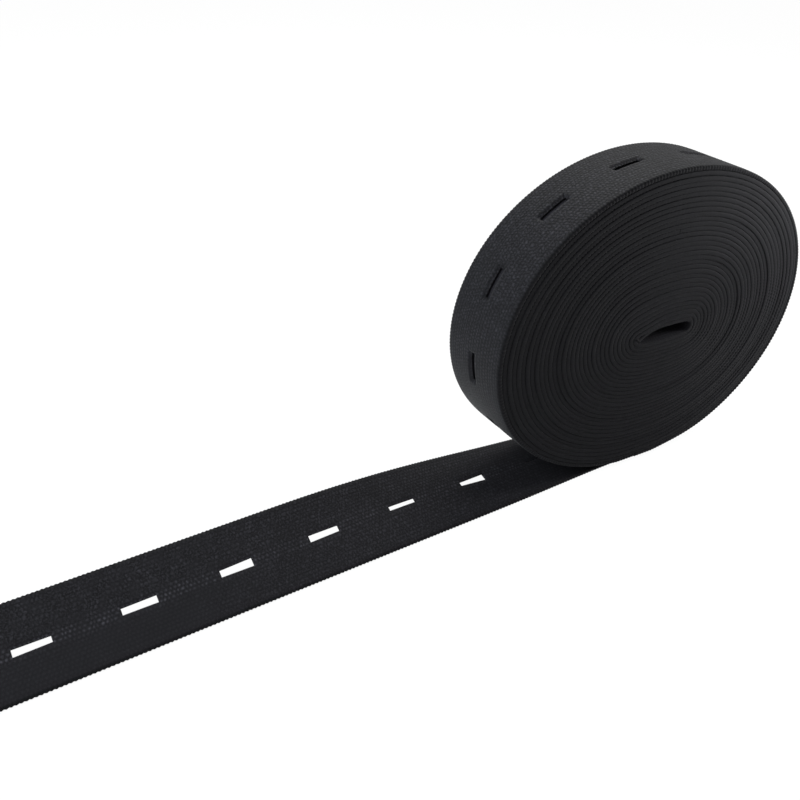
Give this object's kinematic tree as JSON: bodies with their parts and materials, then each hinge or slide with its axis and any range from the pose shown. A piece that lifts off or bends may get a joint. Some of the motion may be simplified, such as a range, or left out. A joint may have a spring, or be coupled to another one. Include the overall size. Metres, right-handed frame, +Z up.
{
  "type": "reel of elastic",
  "caption": "Roll of flat black buttonhole elastic, wound on itself without a core, with its slotted free end lying out to one side.",
  "frame": {"origin": "on the surface the roll stands on, below the middle of the roll, halfway across the strip's width", "axes": "+X away from the loose end, along the roll's long diameter; +Y along the roll's axis, from the face the picture shows to the hidden one; +Z up"},
  "size_m": [0.2661, 0.0286, 0.0811],
  "materials": {
    "elastic": "matte knitted elastic"
  },
  "bodies": {
    "root": {"roll": "elastic", "tail": "elastic"}
  },
  "joints": []
}
